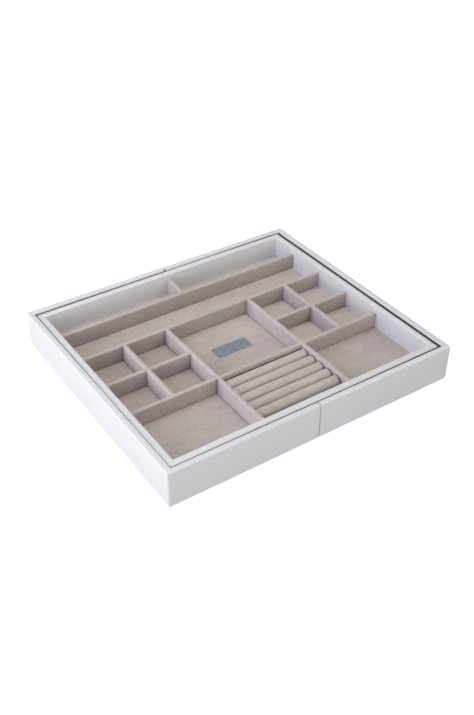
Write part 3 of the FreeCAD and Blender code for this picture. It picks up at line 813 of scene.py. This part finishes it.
X_BS, X_RM = -0.35, X_GR
strips = {
    "back_long": [bar(IXL, IXR, Y_BL, "x", seed=1)],
    "second_long": [bar(IXL, IXR, Y_SL, "x", seed=2)],
    "back_short": [bar(Y_BL + h, IYB, X_BS, "y", ends=("tuck", "wall"), seed=3)],
    "centre_left": [bar(IYF, Y_SL - h, X_CL, "y", ends=("wall", "tuck"), seed=4)],
    "centre_right": [bar(IYF, Y_SL - h, X_CR, "y", ends=("wall", "tuck"), seed=5)],
    "left_front": [bar(IXL, X_CL - h, Y_F, "x", ends=("wall", "tuck"), seed=6)],
    "right_front": [bar(X_CR + h, IXR, Y_F, "x", ends=("tuck", "wall"), seed=7)],
    "ring": [bar(X_CL + h, X_CR - h, Y_F, "x", ends=("tuck", "tuck"), seed=8)],
    "left_grid_mid": [bar(Y_F + h, Y_SL - h, X_GL, "y", ends=("tuck", "tuck"), seed=9)],
    "right_grid_mid": [bar(Y_F + h, Y_SL - h, X_RM, "y", ends=("tuck", "tuck"), seed=10)],
    "left_grid_cross": [bar(IXL, X_GL - h, Y_G, "x", ends=("wall", "tuck"), seed=11),
                        bar(X_GL + h, X_CL - h, Y_G, "x", ends=("tuck", "tuck"), seed=12)],
    "right_grid_cross": [bar(X_CR + h, X_RM - h, Y_G, "x", ends=("tuck", "tuck"), seed=13),
                         bar(X_RM + h, IXR, Y_G, "x", ends=("tuck", "wall"), seed=14)],
}
finish = {"second_long": M_LONG, "left_grid_cross": M_FRONT, "right_grid_cross": M_FRONT, "ring": M_RING,
          "left_front": M_FRONT_L, "right_front": M_FRONT_R,
          "centre_left": M_SLIT[1], "centre_right": M_SLIT[-1]}
for name, parts in strips.items():
    v, f = joined(parts)
    add_object(f"{name}_velvet", askew(v), f, finish.get(name, M_VELVET), "inner_tray", [f"{name}_divider"], 50)


def core(a, b, c, axis, seed):
    """The card strip inside a divider, a millimetre of velvet all round it."""
    return bar(a + 2.6, b - 2.6, c, axis, w=DT - 2.0, z1=DTOP - 1.0, r_top=0.8, seed=seed, step=8.0, wob=0.03, r_e=0.3)


cores = {
    "long_divider_cores": [core(IXL, IXR, Y_BL, "x", 41), core(IXL, IXR, Y_SL, "x", 42)],
    "back_short_divider_core": [core(Y_BL + h, IYB, X_BS, "y", 43)],
    "centre_divider_cores": [core(IYF, Y_SL - h, X_CL, "y", 44), core(IYF, Y_SL - h, X_CR, "y", 45)],
    "front_divider_cores": [core(IXL, X_CL - h, Y_F, "x", 46), core(X_CR + h, IXR, Y_F, "x", 47)],
    "ring_divider_core": [core(X_CL + h, X_CR - h, Y_F, "x", 48)],
    "grid_cross_divider_cores": [core(IXL, X_GL - h, Y_G, "x", 49), core(X_GL + h, X_CL - h, Y_G, "x", 50),
                                 core(X_CR + h, X_RM - h, Y_G, "x", 51), core(X_RM + h, IXR, Y_G, "x", 52)],
    "grid_mid_divider_cores": [core(Y_F + h, Y_SL - h, X_GL, "y", 53), core(Y_F + h, Y_SL - h, X_RM, "y", 54)],
}
for name, parts in cores.items():
    v, f = joined(parts)
    add_object(f"{name}_card", askew(v), f, M_CARD, "inner_tray", [name], 40)

# floor: one velvet-covered card, drawn down a little where the dividers and walls stand on it
cells = [(IXL, X_BS - h, Y_BL + h, IYB), (X_BS + h, IXR, Y_BL + h, IYB), (IXL, IXR, Y_SL + h, Y_BL - h),
         (IXL, X_GL - h, Y_G + h, Y_SL - h), (X_GL + h, X_CL - h, Y_G + h, Y_SL - h),
         (IXL, X_GL - h, Y_F + h, Y_G - h), (X_GL + h, X_CL - h, Y_F + h, Y_G - h),
         (X_CR + h, X_RM - h, Y_G + h, Y_SL - h), (X_RM + h, IXR, Y_G + h, Y_SL - h),
         (X_CR + h, X_RM - h, Y_F + h, Y_G - h), (X_RM + h, IXR, Y_F + h, Y_G - h),
         (X_CL + h, X_CR - h, Y_F + h, Y_SL - h),
         (IXL, X_CL - h, IYF, Y_F - h), (X_CL + h, X_CR - h, IYF, Y_F - h), (X_CR + h, IXR, IYF, Y_F - h)]


def spread(lo, hi, stops, fine=0.8, coarse=3.5):
    """Grid lines from lo to hi, closer together near the stops."""
    out, x = [lo], lo
    while x < hi - 1e-6:
        near = min(abs(x - s) for s in stops)
        x = min(hi, x + min(coarse, fine + near * 0.35))
        out.append(x)
    if out[-1] - out[-2] < 0.3:
        out.pop(-2)
    return np.array(out)


def sheet_mesh(xs, ys, zf, z_low):
    """A closed slab whose top is zf(x, y)."""
    X, Y = np.meshgrid(xs, ys, indexing="ij")
    top = np.c_[X.ravel(), Y.ravel(), zf(X.ravel(), Y.ravel())]
    nx, ny = len(xs), len(ys)
    f = [(i * ny + j, (i + 1) * ny + j, (i + 1) * ny + j + 1, i * ny + j + 1) for i in range(nx - 1) for j in range(ny - 1)]
    rim = [i * ny for i in range(nx)] + [(nx - 1) * ny + j for j in range(1, ny)]
    rim += [i * ny + ny - 1 for i in range(nx - 2, -1, -1)] + [j for j in range(ny - 2, 0, -1)]
    low = top[rim].copy()
    low[:, 2] = z_low
    k = len(top)
    m = len(rim)
    f += [(rim[i], rim[(i + 1) % m], k + (i + 1) % m, k + i) for i in range(m)]
    f.append([k + i for i in range(m)])
    return np.vstack([top, low]), f


def floor_z(x, y):
    e = np.full(len(x), 0.0)
    for x0, x1, y0, y1 in cells:
        inside = np.minimum(np.minimum(x - x0, x1 - x), np.minimum(y - y0, y1 - y))
        e = np.maximum(e, inside)
    z = FLOOR - 0.16 * np.exp(-(e / 0.8) ** 2)
    p = np.c_[x, y, np.zeros(len(x))]
    return z + 0.10 * fbm(p, 26.0, 5.5) * np.clip(e / 6, 0, 1)


sx = [IXL, IXR] + [c + s for c in (X_GL, X_CL, X_CR, X_GR) for s in (-h, h)]
sy = [IYF, IYB] + [c + s for c in (Y_BL, Y_SL, Y_G, Y_F) for s in (-h, h)]
v, f = sheet_mesh(spread(IXL - 0.9, IXR + 0.9, sx), spread(IYF - 0.9, IYB + 0.9, sy), floor_z, 13.75)
add_object("floor_velvet", askew(v), f, M_FLOOR, "inner_tray", ["velvet_floor"], 50)

# side bays: velvet on the base of each half, seen once the halves are pulled out, and the sheet below
for side, sign in (("left", -1), ("right", 1)):
    xs, ys = spread(0.5, 178.15, [0.5, 178.15]), spread(-156.15, 156.15, [-156.15, 156.15])

    def lining_z(x, y, s=sign):
        e = np.minimum(np.minimum(x - 0.5, 178.15 - x), np.minimum(y + 156.15, 156.15 - y))
        p = np.c_[x * s, y, np.zeros(len(x))]
        return 5.0 - 0.35 * np.exp(-(e / 1.0) ** 2) - 0.06 + 0.06 * fbm(p, 28.0, 21.0)

    v, f = sheet_mesh(xs, ys, lining_z, 4.25)
    v[:, 0] *= sign
    ob = add_object(f"{side}_bay_velvet", v, f, M_BAY, f"{side}_half", [f"{side}_base_lining"], 50)

    xs, ys = spread(0.5, 183.5, [0.5, 183.5], 0.4, 6.0), spread(-161.5, 161.5, [-161.5, 161.5], 0.4, 6.0)

    def felt_z(x, y, s=sign):
        e = np.minimum(np.minimum(x - 0.5, 183.5 - x), np.minimum(y + 161.5, 161.5 - y))
        p = np.c_[x * s, y, np.zeros(len(x))]
        return 0.0 + 0.30 * np.exp(-(e / 0.5) ** 2) + 0.02 * (1 + fbm(p, 12.0, 31.0))

    v, f = sheet_mesh(xs, ys, felt_z, 0.8)
    v[:, 0] *= sign
    ob = add_object(f"{side}_felt_sheet", v, f, M_FELT, f"{side}_half", [f"{side}_underside_felt"], 60)

# ring rolls: velvet over foam strips
PAD_Y1, PITCH = -57.9, 14.45
ROLL_W = PITCH - 0.3
for i in range(5):
    cy = PAD_Y1 - PITCH * (i + 0.5)
    v, f = bar(-54.9, 54.9, cy, "x", w=ROLL_W, z0=18.2, z1=33.4, r_top=7.0, ends=("wall", "wall"), seed=30 + i,
               step=1.6, wob=0.16, r_e=1.3, fold=(4.4, 0.7, 0.35))
    ob = add_object(f"ring_roll_{i + 1}_velvet", askew(v), f, M_ROLL, "inner_tray", [f"ring_roll_{i + 1}"], 60)

# =====================================================================================================
# stage and light
# =====================================================================================================
me = bpy.data.meshes.new("floor")
s = 6.0
me.from_pydata([(-s, -s, -0.0004), (s, -s, -0.0004), (s, s, -0.0004), (-s, s, -0.0004)], [], [(0, 1, 2, 3)])
fl = bpy.data.objects.new("floor", me)
scene.collection.objects.link(fl)
fl.visible_diffuse = False
m, t, b = nt("floor_white")
b.inputs["Base Color"].default_value = (0.90, 0.90, 0.90, 1)
b.inputs["Roughness"].default_value = 0.9
b.inputs["Emission Color"].default_value = (1, 1, 1, 1)
far = t.nodes.new("ShaderNodeVectorMath")
far.operation = "LENGTH"
t.links.new(t.nodes.new("ShaderNodeTexCoord").outputs["Object"], far.inputs[0])
glow = t.nodes.new("ShaderNodeMapRange")
for k, val in (("From Min", 0.62), ("From Max", 0.95), ("To Min", 0.58), ("To Max", 1.05)):
    glow.inputs[k].default_value = val
t.links.new(far.outputs["Value"], glow.inputs["Value"])
t.links.new(glow.outputs["Result"], b.inputs["Emission Strength"])
me.materials.append(m)

# a white cove far behind, on every side, that only closes off the view
prof = [(5.6, 0.0)] + [(5.6 + 2.0 * math.sin(a), 2.0 - 2.0 * math.cos(a)) for a in np.radians([15, 30, 45, 60, 75, 90])] + [(7.6, 6.0)]
nseg = 48
ring_v = [(r * math.cos(2 * math.pi * k / nseg), r * math.sin(2 * math.pi * k / nseg), z) for k in range(nseg) for r, z in prof]
me = bpy.data.meshes.new("cove")
me.from_pydata(ring_v, [], grid_faces(nseg, len(prof), close_rows=True))
cove = bpy.data.objects.new("cove", me)
scene.collection.objects.link(cove)
cove.visible_diffuse = cove.visible_glossy = cove.visible_shadow = cove.visible_transmission = False
m, t, b = nt("cove_white")
b.inputs["Base Color"].default_value = (0.90, 0.90, 0.90, 1)
b.inputs["Emission Color"].default_value = (1, 1, 1, 1)
b.inputs["Emission Strength"].default_value = 1.05
me.materials.append(m)

world = bpy.data.worlds.new("world")
scene.world = world
world.use_nodes = True
bg = world.node_tree.nodes.get("Background") or world.node_tree.nodes.new("ShaderNodeBackground")
bg.inputs[0].default_value = (1.0, 1.0, 1.0, 1)
bg.inputs[1].default_value = 0.23


def area(name, loc, target, size, power, color=(1, 1, 1), size_y=None):
    d = bpy.data.lights.new(name, "AREA")
    d.energy = power
    d.color = color
    d.shape = "RECTANGLE"
    d.size = size
    d.size_y = size_y or size
    o = bpy.data.objects.new(name, d)
    scene.collection.objects.link(o)
    o.location = loc
    o.visible_camera = False
    o.rotation_euler = (Vector(target) - Vector(loc)).to_track_quat("-Z", "Y").to_euler()
    return o


def compass(az, el, dist):
    """A point at a bearing (0 = behind the tray, -90 = its left) and elevation."""
    a, e = math.radians(az), math.radians(el)
    return (dist * math.sin(a) * math.cos(e), dist * math.cos(a) * math.cos(e), dist * math.sin(e))


AIM = (0.0, 0.0, 0.03)
area("window_left", compass(-90, 30, 1.9), AIM, 1.1, 8.0, (0.89, 0.94, 1.0))
area("sky_left", compass(-90, 15, 1.9), AIM, 1.1, 3.1, (0.03, 0.05, 1.0))
area("near_left", compass(-92, 32, 0.85), AIM, 0.5, 0.62, (0.35, 0.52, 1.0))
area("card_left", (-0.485, 0.0, 0.10), (-0.185, 0.0, 0.03), 0.9, 1.18, (1.0, 0.957, 0.82), 0.16)
area("front_low", compass(180, 10, 1.9), AIM, 1.1, 3.85, (0.90, 0.90, 1.0))
area("front_right", compass(135, 35, 1.9), AIM, 1.1, 5.2, (0.95, 1.0, 0.98))
area("card_front", (-0.02, -0.583, 0.12), (0.0, -0.163, 0.03), 0.35, 0.41, size_y=0.18)
area("overhead", compass(0, 89, 1.9), AIM, 1.1, 6.3, (1.0, 0.86, 0.83))
area("near_top", (-0.03, 0.14, 0.62), (-0.03, 0.10, 0.03), 0.45, 0.56)
area("near_right", (0.55, 0.0, 0.45), (0.05, 0.0, 0.03), 0.5, 0.28)
area("near_back", (0.0, 0.55, 0.45), (0.0, 0.05, 0.03), 0.5, 0.50, (0.88, 1.0, 0.78))

scene.view_settings.view_transform = "Standard"
scene.view_settings.look = "None"
scene.view_settings.exposure = 0.0
scene.view_settings.gamma = 1.0
